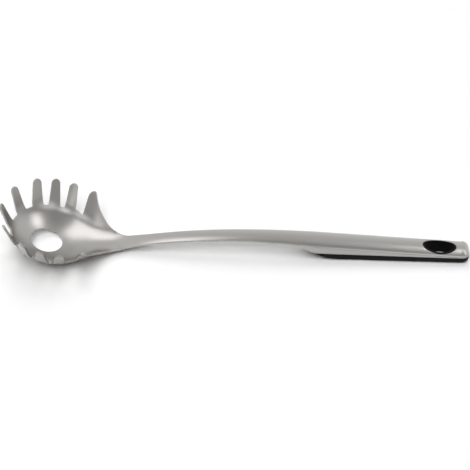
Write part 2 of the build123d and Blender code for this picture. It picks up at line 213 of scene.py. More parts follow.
class HeadForm:
    """The pressed surface of the bowl and neck, in the bowl's own frame and in the shared one."""

    def __init__(self, s):
        self.s = s
        self.floor_edge = s.floor_radius * math.sin(s.floor_slope)
        self.turn_start = s.wall_radius * math.sin(s.floor_slope)
        self.wall_edge = self.floor_edge + s.wall_radius * math.sin(s.tine_slope) - self.turn_start
        trough = s.pitch + s.trough_rise
        neck = s.pitch + s.neck_rise
        self.trough_slope = math.tan(trough)
        self.neck_slope = math.tan(neck)
        self.trough_start = s.floor_radius * math.sin(trough)
        self.bend_radius = s.bend_run / (math.sin(neck) - math.sin(trough))
        self.bend_sin = math.sin(trough)
        self.bend_cos = math.cos(trough)
        self.level = float(self.bowl(s.gap_radius))
        self.tip_height = float(self.bowl(s.tip_radius)) - self.level
        cos, sin = math.cos(s.pitch), math.sin(s.pitch)
        reach = s.tip_radius + s.sheet * math.sin(s.tine_slope)
        back = self.tip_height - s.sheet * math.cos(s.tine_slope)
        self.x = -END_X + reach * cos - back * sin
        self.z = s.floor_radius + s.sheet - (s.floor_radius - self.level) * cos
        self.cos, self.sin = cos, sin

    def bowl(self, radius):
        """Height of the bowl over its lowest point: a dish, a turn and a straight wall."""
        s = self.s
        radius = np.asarray(radius, float)
        dish = np.minimum(radius, self.floor_edge)
        turn = self.turn_start + np.clip(radius, self.floor_edge, self.wall_edge) - self.floor_edge
        rise = s.floor_radius - np.sqrt(s.floor_radius**2 - dish**2)
        turned = s.wall_radius * math.cos(s.floor_slope) - np.sqrt(s.wall_radius**2 - turn**2)
        return rise + turned + np.maximum(radius - self.wall_edge, 0) * math.tan(s.tine_slope)

    def middle(self, x):
        """Height along the middle behind the axis: a straight trough, a bend and the neck."""
        s = self.s
        x = np.asarray(x, float)
        straight = (np.minimum(x, s.bend_start) - self.trough_start) * self.trough_slope
        bend = np.clip(x - s.bend_start, 0, s.bend_run)
        start = -self.bend_radius * self.bend_sin
        arc = np.sqrt(self.bend_radius**2 - (start - bend) ** 2) - self.bend_radius * self.bend_cos
        tail = np.maximum(x - s.bend_start - s.bend_run, 0) * self.neck_slope
        beyond = self.bowl(self.trough_start) + straight - arc + tail
        return np.where(x < self.trough_start, self.bowl(np.abs(x)), beyond)

    def height(self, x, y):
        """Height of the pressed surface over the gap bottoms."""
        s = self.s
        x, y = np.asarray(x, float), np.asarray(y, float)
        ahead = np.maximum(x, 0)
        soft = np.log1p(np.exp((s.trough_limit - ahead) / s.trough_blend))
        radius = s.trough_limit - s.trough_blend * soft
        step = np.clip((ahead - s.flatten_start) / s.flatten_run, 0, 1)
        dished = 1 - step**2 * (3 - 2 * step)
        side = (self.bowl(np.hypot(radius, y)) - self.bowl(np.abs(radius))) * dished
        behind = self.middle(ahead) + side
        return np.where(x < 0, self.bowl(np.hypot(x, y)), behind) - self.level

    def normal(self, x, y):
        """Unit vector square to the pressed surface."""
        dx = (self.height(x + PROBE, y) - self.height(x - PROBE, y)) / (2 * PROBE)
        dy = (self.height(x, y + PROBE) - self.height(x, y - PROBE)) / (2 * PROBE)
        n = np.stack([-dx, -dy, np.ones_like(dx)], -1)
        return n / np.linalg.norm(n, axis=-1, keepdims=True)

    def to_scene(self, points):
        """Lean points of the bowl's own frame back by the pitch and put them in their place."""
        u, v, w = points.T
        x = self.x + u * self.cos + w * self.sin
        return np.stack([x, v, self.z - u * self.sin + w * self.cos], 1)

    def at_height(self, ahead, side, offset, height):
        """Plan point on a line beside the tine's middle, where the surface has this height."""
        low, high = 0.3 * self.s.gap_radius, 1.3 * self.s.tip_radius
        for _ in range(HALVINGS):
            middle = (low + high) / 2
            p = ahead * middle + side * offset
            if float(self.height(p[0], p[1])) < height:
                low = middle
            else:
                high = middle
        return ahead * low + side * offset


def smooth_line(points, count):
    """A natural cubic spline through a few points, sampled evenly by its chord length."""
    p = np.array(points, float)
    t = np.concatenate([[0], np.cumsum(np.linalg.norm(np.diff(p, axis=0), axis=1))])
    n = len(p)
    h = np.diff(t)
    a = np.zeros((n, n))
    b = np.zeros((n, 2))
    a[0, 0] = a[-1, -1] = 1
    for i in range(1, n - 1):
        a[i, i - 1], a[i, i], a[i, i + 1] = h[i - 1], 2 * (h[i - 1] + h[i]), h[i]
        b[i] = 6 * ((p[i + 1] - p[i]) / h[i] - (p[i] - p[i - 1]) / h[i - 1])
    m = np.linalg.solve(a, b)
    s = np.linspace(0, t[-1], count)
    i = np.clip(np.searchsorted(t, s, side="right") - 1, 0, n - 2)
    left, right, step = (s - t[i])[:, None], (t[i + 1] - s)[:, None], h[i][:, None]
    bend = (m[i] * right**3 + m[i + 1] * left**3) / (6 * step)
    low = (p[i] / step - m[i] * step / 6) * right
    return bend + low + (p[i + 1] / step - m[i + 1] * step / 6) * left


def spread(points, spacing):
    """The same line with its points spread evenly, its two ends kept."""
    p = np.array(points, float)
    t = np.concatenate([[0], np.cumsum(np.linalg.norm(np.diff(p, axis=0), axis=1))])
    count = max(2, int(round(t[-1] / spacing)) + 1)
    s = np.linspace(0, t[-1], count)
    return np.stack([np.interp(s, t, p[:, k]) for k in (0, 1)], 1)


def round_corner(before, after, radius):
    """Two lines that meet in a corner, cut back, and the short curve that joins them."""
    corner = before[-1]

    def trimmed(line):
        away = np.linalg.norm(line - corner, axis=1)
        return line[away > radius * 0.999]

    first, second = trimmed(before), trimmed(after)
    a = corner + (first[-1] - corner) / np.linalg.norm(first[-1] - corner) * radius
    b = corner + (second[0] - corner) / np.linalg.norm(second[0] - corner) * radius
    t = np.linspace(0, 1, CORNER_POINTS)[:, None]
    curve = a * (1 - t) ** 2 + corner * 2 * t * (1 - t) + b * t**2
    return first, curve, second


def tine_lines(form, degrees, lean_share):
    """Front edge up, tip and rear edge down of one tine, as plan points."""
    s = form.s
    turn = math.radians(degrees)
    ahead = np.array([-math.cos(turn), math.sin(turn)])
    side = np.array([-ahead[1], ahead[0]])
    lean = s.tine_root * lean_share
    shoulder = form.tip_height - s.tine_end / 2
    front, rear = [], []
    for share in np.linspace(0, 1, EDGE_POINTS):
        for line, sign in ((front, 1), (rear, -1)):
            offset = sign * s.tine_root / 2 * (1 - share) + (lean + sign * s.tine_end / 2) * share
            line.append(form.at_height(ahead, side, offset, shoulder * share))
    tip = []
    for a in np.linspace(0, math.pi, TIP_POINTS)[1:-1]:
        offset = lean + math.cos(a) * s.tine_end / 2
        tip.append(form.at_height(ahead, side, offset, shoulder + math.sin(a) * s.tine_end / 2))
    return np.array(front), np.array(tip), np.array(rear[::-1])


def gap_line(form, start, end):
    """Bottom of a gap, level all the way from one tine to the next."""
    a, b = math.atan2(start[1], -start[0]), math.atan2(end[1], -end[0])
    points = []
    for turn in np.linspace(a, b, GAP_POINTS):
        ahead = np.array([-math.cos(turn), math.sin(turn)])
        points.append(form.at_height(ahead, np.zeros(2), 0, 0))
    points[0], points[-1] = start, end
    return np.array(points)


def crossing(line, a, b):
    """Cut a line where it crosses the segment a-b. Returns what comes before, and the point."""
    for k in range(len(line) - 1):
        p, q = line[k], line[k + 1]
        m = np.array([q - p, a - b]).T
        if abs(np.linalg.det(m)) < 1e-14:
            continue
        t, u = np.linalg.solve(m, a - p)
        if 0 <= t <= 1 and 0 <= u <= 1:
            return line[: k + 1], p + (q - p) * t
    raise RuntimeError("the last round tine does not meet the rear gap")


def half_outline(form):
    """Lines of half the outline, from the tip of the front tine round to the neck."""
    s = form.s
    lines = []
    for degrees, lean_share in TINES:
        front, tip, rear = tine_lines(form, degrees, lean_share)
        if lines:
            lines += [gap_line(form, lines[-1][-1], front[0]), front, tip, rear]
        else:
            lines = [tip[len(tip) // 2 :], rear]
    # the broad rear tine: its front edge, its round tip, and the flare down to the neck
    corner = np.array([s.rear_x, s.rear_y])
    inner, low, up, top = (np.array(p) * corner for p in REAR_TIP)
    before, meet = crossing(lines[-1], inner, low)
    lines[-1] = np.vstack([before, meet])
    centre, radius = circle_through(up, top, corner)
    start = math.atan2(*(up - centre)[::-1])
    end = math.atan2(*(corner - centre)[::-1])
    if start < end:
        start += 2 * math.pi
    turns = np.linspace(start, end, REAR_TIP_POINTS)
    arc = [centre + radius * np.array([math.cos(a), math.sin(a)]) for a in turns]
    neck = np.array([s.neck_reach, s.neck_half_width])
    origin = np.array([s.rear_x, s.neck_half_width])
    span = np.array([s.neck_reach - s.rear_x, s.rear_y - s.neck_half_width])
    flare = [corner] + [origin + span * np.array(p) for p in FLARE] + [neck]
    lines += [np.array([meet, low]), np.array([low, up]), np.array(arc)]
    lines.append(smooth_line(flare, FLARE_POINTS))
    return lines


def head_outline(form):
    """Outline of the whole pressing in plan, and the kind of each of its points.

    The kinds are 0 for a rounded edge, 1 for the plain cut at the neck and 2 for its corners.
    """
    s = form.s
    lines = half_outline(form)
    joined = [spread(lines[0], s.spacing * OUTLINE_SHARE)]
    for after in lines[1:]:
        before = joined.pop()
        d1, d2 = before[-1] - before[-2], after[1] - after[0]
        straight = np.dot(d1, d2) / np.linalg.norm(d1) / np.linalg.norm(d2)
        touching = np.linalg.norm(before[-1] - after[0]) < TOUCHING
        if touching and straight < CORNER_BEND:
            fine = s.corner / 3
            joined += round_corner(spread(before, fine), spread(after, fine), s.corner)
        else:
            joined += [before, after]
    points = np.vstack(joined)
    half = [points[0]]
    for point in points[1:]:
        if np.linalg.norm(point - half[-1]) > 4 * MERGE:
            half.append(point)
    half = thin_out(np.array(half), s.spacing * OUTLINE_SHARE)
    mirrored = half[::-1] * (1, -1)
    inset = s.neck_half_width - s.edge
    neck_y = np.linspace(inset, -inset, NECK_POINTS)[1:-1]
    neck = np.stack([np.full_like(neck_y, s.neck_reach), neck_y], 1)
    on_axis = abs(half[0][1]) < ON_AXIS
    outline = np.vstack([half, neck, mirrored[:-1] if on_axis else mirrored])
    kinds = np.zeros(len(outline), int)
    kinds[len(half) : len(half) + len(neck)] = 1
    kinds[[len(half) - 1, len(half) + len(neck)]] = 2
    return outline, kinds


def circle_through(a, b, c):
    """Centre and radius of the circle through three points."""
    m = 2 * np.array([b - a, c - a])
    v = np.array([np.dot(b, b) - np.dot(a, a), np.dot(c, c) - np.dot(a, a)])
    centre = np.linalg.solve(m, v)
    return centre, float(np.linalg.norm(a - centre))


def thin_out(points, spacing):
    """Drop points that crowd a straight stretch, and keep those in a bend."""
    kept = [points[0]]
    for k in range(1, len(points) - 1):
        step = np.linalg.norm(points[k] - kept[-1])
        d1, d2 = points[k] - kept[-1], points[k + 1] - points[k]
        bend = np.dot(d1, d2) / (np.linalg.norm(d1) * np.linalg.norm(d2) + 1e-12)
        if step >= spacing or (bend < SLIGHT_BEND and step > spacing * 0.2):
            kept.append(points[k])
    kept.append(points[-1])
    return np.array(kept)


def inside_polygon(points, polygon):
    """Which points lie inside a closed polygon, by counting crossings."""
    x, y = points[:, 0], points[:, 1]
    inside = np.zeros(len(points), bool)
    for a, b in zip(polygon, np.roll(polygon, -1, axis=0)):
        crosses = (a[1] > y) != (b[1] > y)
        with np.errstate(divide="ignore", invalid="ignore"):
            at = (b[0] - a[0]) * (y - a[1]) / (b[1] - a[1]) + a[0]
        inside ^= crosses & (x < at)
    return inside


def within(points, rings):
    """Which points lie inside the first ring and outside the others."""
    good = inside_polygon(points, rings[0])
    for ring in rings[1:]:
        good &= ~inside_polygon(points, ring)
    return good


def rim_rows(form, ring, kinds, sign):
    """Rows of points round the cut edge of the sheet, from its upper face to its lower one."""
    s = form.s
    p = np.column_stack([ring, form.height(ring[:, 0], ring[:, 1])])
    n = form.normal(ring[:, 0], ring[:, 1])
    t = np.roll(p, -1, axis=0) - np.roll(p, 1, axis=0)
    t /= np.linalg.norm(t, axis=1, keepdims=True)
    b = np.cross(n, t)
    b *= sign / np.linalg.norm(b, axis=1, keepdims=True)
    for k in np.flatnonzero(kinds == 2):
        b[k] = (0, math.copysign(1, ring[k][1]), 0)
    n[kinds > 0] = form.normal(np.array([s.neck_reach]), np.array([0.0]))[0]
    e = np.where(kinds == 1, 0.0, s.edge)[:, None]
    turns = [(math.cos(a), math.sin(a)) for a in np.linspace(math.pi / 2, 0, RIM_STEPS)]
    upper = [p + b * (-e + e * cos) + n * (-e + e * sin) for cos, sin in turns]
    lower = [p + b * (-e + e * cos) + n * (-s.sheet + e - e * sin) for cos, sin in turns[::-1]]
    return upper + lower


def sheet_from(form, rings, kinds):
    """Closed mesh of a pressed sheet: a rounded rim round each ring, and both its faces.

    rings are closed outlines in plan, the outside one first, and kinds says what each of
    their points is, as head_outline does.
    """
    s = form.s
    verts, faces, plans = [], [], []
    top_index, bottom_index, constraint = [], [], []
    for ring, ring_kinds in zip(rings, kinds):
        after = np.roll(ring, -1, axis=0)
        turns_left = np.sum(ring[:, 0] * after[:, 1] - after[:, 0] * ring[:, 1]) > 0
        outside = not plans
        rows = rim_rows(form, ring, ring_kinds, -1 if turns_left == outside else 1)
        base, count, start = len(verts), len(ring), len(top_index)
        loops = np.arange(base, base + len(rows) * count).reshape(len(rows), count)
        for row in rows:
            verts.extend(row)
        plans.append(rows[0][:, :2])
        top_index.extend(loops[0])
        bottom_index.extend(loops[-1])
        constraint.extend((start + k, start + (k + 1) % count) for k in range(count))
        for upper, lower in zip(loops, loops[1:]):
            for k in range(count):
                m = (k + 1) % count
                quad = (upper[k], upper[m], lower[m], lower[k])
                faces.append(quad if turns_left else quad[::-1])
    rims = np.vstack(plans)
    low, high = rims.min(axis=0), rims.max(axis=0)
    along = np.arange(low[0], high[0], s.spacing)
    across = np.arange(0, high[1], s.spacing)
    across = np.concatenate([-across[:0:-1], across])
    grid = np.array([(x, y) for x in along for y in across])
    grid = grid[within(grid, plans)]
    far = np.ones(len(grid), bool)
    for point in rims:
        far &= np.hypot(*(grid - point).T) > s.spacing * CLEAR_SHARE
    grid = grid[far]
    top = np.column_stack([grid, form.height(grid[:, 0], grid[:, 1])])
    base = len(verts)
    verts.extend(top)
    verts.extend(top - form.normal(grid[:, 0], grid[:, 1]) * s.sheet)
    top_index.extend(range(base, base + len(grid)))
    bottom_index.extend(range(base + len(grid), base + 2 * len(grid)))
    plan = np.vstack([rims, grid])
    flat = [Vector((x / MM, y / MM)) for x, y in plan]
    _, _, triangles, origin, _, _ = delaunay_2d_cdt(flat, constraint, [], 0, 1e-5)
    source = [o[0] if o else -1 for o in origin]
    tri = np.array([[source[k] for k in face] for face in triangles if len(face) == 3])
    tri = tri[(tri >= 0).all(axis=1)]
    for a, b, c in tri[within(plan[tri].mean(axis=1), plans)]:
        faces.append((top_index[a], top_index[b], top_index[c]))
        faces.append((bottom_index[c], bottom_index[b], bottom_index[a]))
    return np.array(verts), faces


# Stem and handle


def cubic(t, start, start_slope, end, end_slope):
    """A curve from start to end as t goes from 0 to 1, with a given slope at each."""
    return (
        start * (2 * t**3 - 3 * t**2 + 1)
        + start_slope * (t**3 - 2 * t**2 + t)
        + end * (3 * t**2 - 2 * t**3)
        + end_slope * (t**3 - t**2)
    )


def ease(table, column, at):
    """Value of a table's column at a share of the run, smooth and with no overshoot."""
    x = np.array([row[0] for row in table])
    y = np.array([row[column] for row in table])
    d = np.diff(y) / np.diff(x)
    m = np.zeros(len(x))
    for k in range(1, len(x) - 1):
        if d[k - 1] * d[k] > 0:
            m[k] = 2 * d[k - 1] * d[k] / (d[k - 1] + d[k])
    m[0] = d[0]
    at = min(max(at, 0), 1)
    k = min(max(int(np.searchsorted(x, at, side="right")) - 1, 0), len(x) - 2)
    w = x[k + 1] - x[k]
    return float(cubic((at - x[k]) / w, y[k], m[k] * w, y[k + 1], m[k + 1] * w))


class HandleForm:
    """The stem and handle: a back line, a lower edge, and a section that changes along it."""

    def __init__(self, head, sizes):
        self.head, self.s = head, sizes
        reach = head.s.neck_reach
        height = float(head.height(reach, 0))
        self.neck_x, _, self.neck_z = head.to_scene(np.array([[reach, 0, height]]))[0]
        self.neck_rise = head.s.neck_rise
        self.sheet = head.s.sheet
        self.edge = head.s.edge
        self.shoulder_x = END_X - sizes.straight_length
        self.handle_x = END_X - sizes.handle_length
        self.fall_x = END_X - sizes.fall_length
        self.skirt_x = END_X - sizes.skirt_length
        self.hole_x = END_X - sizes.hole_from_end
        self.run = self.fall_x - self.neck_x
        fall = math.tan(sizes.fall)
        self.gain = sizes.end_height + sizes.fall_length * fall - self.neck_z

    def crown(self, x):
        """Height of the back: a cubic from the neck, then a straight fall to the end."""
        s = self.s
        if x > self.fall_x:
            return s.end_height + (END_X - x) * math.tan(s.fall)
        t = (x - self.neck_x) / self.run
        rise, fall = self.run * math.tan(self.neck_rise), self.run * math.tan(s.fall)
        bend = (3 * self.gain - 2 * rise + fall) * t**2
        return self.neck_z + rise * t + bend + (rise - fall - 2 * self.gain) * t**3

    def slope(self, x):
        """Angle of the back over the table at x."""
        rise = self.crown(x + BACK_PROBE) - self.crown(x - BACK_PROBE)
        return math.atan2(rise, 2 * BACK_PROBE)

    def lower_edge(self, x):
        """Height of the lower steel edge over the table."""
        s = self.s
        if x >= self.skirt_x:
            share = (x - self.skirt_x) / s.skirt_length
            return s.skirt_height + (s.skirt_end_height - s.skirt_height) * share
        share = min(max((x - self.neck_x) / (self.handle_x - self.neck_x), 0), 1)
        depth = self.sheet + (s.channel_depth - self.sheet) * share
        if x <= self.handle_x:
            return self.crown(x) - depth
        t = (x - self.handle_x) / (self.skirt_x - self.handle_x)
        z0 = self.crown(self.handle_x) - depth
        w = self.skirt_x - self.handle_x
        leaving = self.slope(self.handle_x) * w - SWEEP_EASE
        return cubic(t, z0, leaving, s.skirt_height, SWEEP_DIVE * w)

    def section(self, x):
        """Half width, arch curvature and corner radius at x."""
        s = self.s
        share = (x - self.neck_x) / (self.shoulder_x - self.neck_x)
        width = s.half_width * ease(STATIONS, 1, share)
        arch = ease(STATIONS, 2, share) / s.crown_radius
        return width, arch, s.corner_radius * ease(STATIONS, 3, share)


def half_profile(half, arch, corner, top, low):
    """Points of half a section, from its middle to its lower edge, as (across, depth)."""
    bend = 1 / max(arch, LEAST_ARCH)
    corner = min(corner, half * 0.95)
    reach = math.asin(min((half - corner) / (bend - corner), 1))
    centre = bend - (bend - corner) * math.cos(reach)
    points = []
    for a in np.linspace(0, reach, CROWN_STEPS + 1):
        points.append((bend * math.sin(a), bend - bend * math.cos(a)))
    for a in np.linspace(reach, math.pi / 2, CORNER_STEPS + 1)[1:]:
        points.append((half - corner + corner * math.sin(a), centre - corner * math.cos(a)))
    last = points[-1][1]
    for t in np.linspace(0, 1, SIDE_STEPS + 1)[1:]:
        points.append((half, last + (max(low - top, last) - last) * t))
    out = np.array(points)
    out[:, 1] = np.minimum(out[:, 1] + top, max(low, top))
    return out


def flattened(half, arch, corner, room, share):
    """An arch and corner that come to fit a low section as the share goes from 0 to 1."""
    low_arch, low_corner = min(arch, 0.5 * room / half**2), min(corner, 0.4 * room)
    return arch + (low_arch - arch) * share, corner + (low_corner - corner) * share


def arc_drop(radius, beyond):
    """How far an arc has dropped at this distance beyond its start."""
    return radius - math.sqrt(max(radius**2 - beyond**2, 0))


def handle_stations(form):
    """Places of the sections along the tool, and how far the end's rounding has turned there."""
    s = form.s
    end_zone = END_X - s.end_corner
    stations = [
        *np.linspace(form.neck_x, form.handle_x, STEM_STATIONS)[:-1],
        *np.linspace(form.handle_x, form.shoulder_x, SWEEP_STATIONS)[:-1],
        *np.linspace(form.shoulder_x, end_zone, HANDLE_STATIONS),
    ]
    turns = [0.0] * len(stations)
    for a in np.linspace(0, math.asin(1 - END_FLAT / s.end_corner), END_STATIONS)[1:]:
        stations.append(end_zone + s.end_corner * math.sin(a))
        turns.append(a)
    return stations, turns


def handle_section(form, x, turn, flat):
    """Outside and inside of the steel at x, each a row of points from one edge to the other."""
    s, t, e = form.s, form.sheet, form.edge
    end_zone, crown_zone = END_X - s.end_corner, END_X - s.end_crown
    half, arch, corner = form.section(x)
    top, low = form.crown(x), form.lower_edge(x)
    inner_x, inner_half, inner_top = x, half - t, top - t
    # at the end the sides turn in and the back turns down
    if turn > 0:
        inner_x = end_zone + (s.end_corner - t) * math.sin(turn)
        half -= s.end_corner * (1 - math.cos(turn))
        inner_half = s.half_width - t - (s.end_corner - t) * (1 - math.cos(turn))
    if x > crown_zone:
        top = max(form.crown(crown_zone) - arc_drop(s.end_crown, x - crown_zone), low + e)
    if inner_x > crown_zone:
        drop = arc_drop(s.end_crown - t, inner_x - crown_zone)
        inner_top = max(form.crown(crown_zone) - t - drop, low + e)
    depth, shift = top - low, top - inner_top
    edge_in = min(e, max(depth - t, 0) * 0.5)
    corner_out, corner_in = min(corner, depth * 0.7), max(corner - t, 0.3 * MM)
    arch_in = 1 / max(1 / max(arch, LEAST_ARCH) - t, 1 * MM)
    # the section flattens there too, so that the lower edge never cuts into its arch
    arch, corner_out = flattened(half, arch, corner_out, depth - e, flat)
    arch_in, corner_in = flattened(inner_half, arch_in, corner_in, depth - edge_in - shift, flat)
    # sections stand square to the stem and upright in the handle
    upright = min(max((form.handle_x - x) / (form.handle_x - form.neck_x) * 3, 0), 1)
    lean = form.slope(x) * upright
    down = np.array([math.sin(lean), 0, -math.cos(lean)])

    def placed(profile, at_x):
        both = np.vstack([profile[::-1], profile[1:] * (-1, 1)])
        return np.array([at_x, 0, top]) + both[:, :1] * np.array([0, 1, 0]) + both[:, 1:] * down

    outside = half_profile(half, arch, corner_out, 0, depth - e)
    inside = half_profile(inner_half, arch_in, corner_in, shift, depth - edge_in)
    return placed(outside, x), placed(inside, inner_x)


class Skin:
    """Points and faces of a mesh while it is made."""

    def __init__(self):
        self.verts, self.faces = [], []

    def add(self, points):
        """Add points, and give their numbers in the same shape."""
        base, shape = len(self.verts), np.shape(points)[:-1]
        self.verts.extend(np.reshape(points, (-1, 3)))
        return np.arange(base, len(self.verts)).reshape(shape)

    def band(self, a, b):
        """Faces between two closed rows of points."""
        for k in range(len(a)):
            m = (k + 1) % len(a)
            self.faces.append((a[m], b[m], b[k], a[k]))


def hanging_hole(form, skin, outside, inside):
    """Rings that turn the grid of the back into the oval hole, its rounded edge and its wall.

    outside and inside are the numbers and the points of the border of the patch left free.
    """
    s, e = form.s, form.edge
    long, short = s.hole_length / 2 + s.hole_fit, s.hole_width / 2 + s.hole_fit
    numbers, border = outside
    turn = np.arctan2(border[:, 1] / short, (border[:, 0] - form.hole_x) / long)
    rim = np.stack([form.hole_x + long * np.cos(turn), short * np.sin(turn)], 1)
    section = half_profile(*form.section(form.hole_x), 0, s.end_height)
    across, depth = section[: CROWN_STEPS + CORNER_STEPS + 1].T

    def back(plan):
        """These plan points, laid on the back."""
        z = [form.crown(x) - np.interp(abs(y), across, depth) for x, y in plan]
        return np.column_stack([plan, z])

    away = rim - (form.hole_x, 0)
    grow = away / np.linalg.norm(away, axis=1, keepdims=True)
    lip = rim + grow * e
    top = back(lip)[:, 2]
    rings = [back(border[:, :2] * (1 - share) + lip * share) for share in HOLE_SHARES]
    for degrees in EDGE_TURNS:
        a = math.radians(degrees)
        plan = rim + grow * e * (1 - math.sin(a))
        rings.append(np.column_stack([plan, top - e * (1 - math.cos(a))]))
    bottom = np.column_stack([rim, top - form.sheet])
    for ring in (*rings, bottom, bottom * 0.5 + inside[1] * 0.5):
        row = skin.add(ring)
        skin.band(numbers, row)
        numbers = row
    skin.band(numbers, inside[0])


def lower_rim(skin, outer_line, inner_line, e):
    """Rounded lower edge, from the outside round to the inside. Returns its lines of points."""
    a, b = (np.array([skin.verts[k] for k in line]) for line in (outer_line, inner_line))
    flat = (b - a) * (1, 1, 0)
    gap = np.linalg.norm(flat, axis=1, keepdims=True)
    flat /= gap
    low = a[:, 2] - e
    e_in = np.minimum(np.maximum(b[:, 2] - low, 0), e)
    lines = [outer_line]
    for degrees in EDGE_TURNS:
        w = math.radians(degrees)
        p = a + flat * e * (1 - math.cos(w))
        p[:, 2] = a[:, 2] - e * math.sin(w)
        lines.append(skin.add(p))
    for degrees in EDGE_TURNS[::-1]:
        w = math.radians(degrees)
        p = a + flat * (gap - e_in[:, None] * (1 - math.cos(w)))
        p[:, 2] = low + e_in * (1 - math.sin(w))
        lines.append(skin.add(p))
    lines.append(inner_line)
    for u, v in zip(lines, lines[1:]):
        for k in range(len(u) - 1):
            skin.faces.append((u[k], v[k], v[k + 1], u[k + 1]))
    return lines


def handle_mesh(form):
    """Closed mesh of the stem and handle, with the hanging hole through its back."""
    s = form.s
    stations, turns = handle_stations(form)
    sections = [handle_section(form, x, a, a / turns[-1]) for x, a in zip(stations, turns)]
    outer, inner = (np.array(rows) for rows in zip(*sections))
    skin = Skin()
    o, i = skin.add(outer), skin.add(inner)
    # a patch of the grid makes way for the rings of the hanging hole
    reach = s.hole_length / 2 + HOLE_MARGIN
    first = int(np.argmin(np.abs(np.array(stations) - (form.hole_x - reach))))
    last = int(np.argmin(np.abs(np.array(stations) - (form.hole_x + reach))))
    last = min(last, turns.count(0.0) - 1)
    columns = o.shape[1]
    clear = s.hole_width / 2 + s.hole_fit + form.edge + SIDE_MARGIN
    left = int(np.sum(outer[first][: columns // 2, 1] > clear)) - 1
    right = columns - 1 - left
    for grid, order in ((o, 1), (i, -1)):
        for r in range(len(stations) - 1):
            for c in range(columns - 1):
                if not (first <= r < last and left <= c < right):
                    quad = (grid[r, c], grid[r + 1, c], grid[r + 1, c + 1], grid[r, c + 1])
                    skin.faces.append(quad[::order])
    border = [(first, c) for c in range(left, right)]
    border += [(r, right) for r in range(first, last)]
    border += [(last, c) for c in range(right, left, -1)]
    border += [(r, left) for r in range(last, first, -1)]
    at = tuple(np.array(border).T)
    hanging_hole(form, skin, (o[at], outer[at]), (i[at], inner[at]))
    # flat ends of the last sections
    skin.faces += [tuple(o[-1, ::-1]), tuple(i[-1])]
    edges = [np.array([*grid[:, 0], *grid[::-1, -1]]) for grid in (o, i)]
    lines = lower_rim(skin, *edges, form.edge)
    # plain cut at the neck
    for c in range(columns - 1):
        skin.faces.append((o[0, c], o[0, c + 1], i[0, c + 1], i[0, c]))
    skin.faces.append(tuple(line[0] for line in lines))
    skin.faces.append(tuple(line[-1] for line in lines[::-1]))
    return np.array(skin.verts), skin.faces


def smooth_closed(mesh, merge):
    """Merge doubles, turn the faces outwards and shade smooth, with sharp edges kept sharp."""
    bm = bmesh.new()
    bm.from_mesh(mesh)
    bmesh.ops.remove_doubles(bm, verts=bm.verts, dist=merge)
    bmesh.ops.dissolve_degenerate(bm, dist=merge / 4, edges=bm.edges)
    loose = [vert for vert in bm.verts if not vert.link_faces]
    bmesh.ops.delete(bm, geom=loose, context="VERTS")
    bmesh.ops.recalc_face_normals(bm, faces=bm.faces)
    for face in bm.faces:
        face.smooth = True
    for edge in bm.edges:
        if len(edge.link_faces) != 2:
            raise RuntimeError(f"{mesh.name} is not closed")
        if edge.calc_face_angle(0) > SHARP:
            edge.smooth = False
    bm.to_mesh(mesh)
    bm.free()


def mesh_object(name, verts, faces):
    """A closed mesh object at the origin, shaded smooth."""
    mesh = bpy.data.meshes.new(name)
    mesh.from_pydata([tuple(v) for v in verts], [], [tuple(int(k) for k in f) for f in faces])
    smooth_closed(mesh, MERGE)
    obj = bpy.data.objects.new(name, mesh)
    bpy.context.scene.collection.objects.link(obj)
    # the broad faces decide the shading, so that the narrow rims don't darken them
    weighted = obj.modifiers.new(name, "WEIGHTED_NORMAL")
    weighted.keep_sharp = True
    obj.data = baked_mesh(obj, name)
    obj.modifiers.clear()
    return obj


def baked_mesh(obj, name):
    """What an object's modifiers make of it, as a plain mesh."""
    bpy.context.view_layer.update()
    shown = obj.evaluated_get(bpy.context.evaluated_depsgraph_get())
    mesh = bpy.data.meshes.new_from_object(shown)
    mesh.name = name
    return mesh


# Liner of the hanging hole, made by nodes


def table_of(tree, points):
    """Switch that gives one point of a profile for each index."""
    switch = add_node(tree, "GeometryNodeIndexSwitch", {"data_type": "VECTOR"})
    while len(switch.index_switch_items) < len(points):
        switch.index_switch_items.new()
    tree.links.new(add_node(tree, "GeometryNodeInputIndex").outputs[0], switch.inputs[0])
    for k, point in enumerate(points):
        tree.links.new(point, switch.inputs[k + 1])
    return switch.outputs[0]


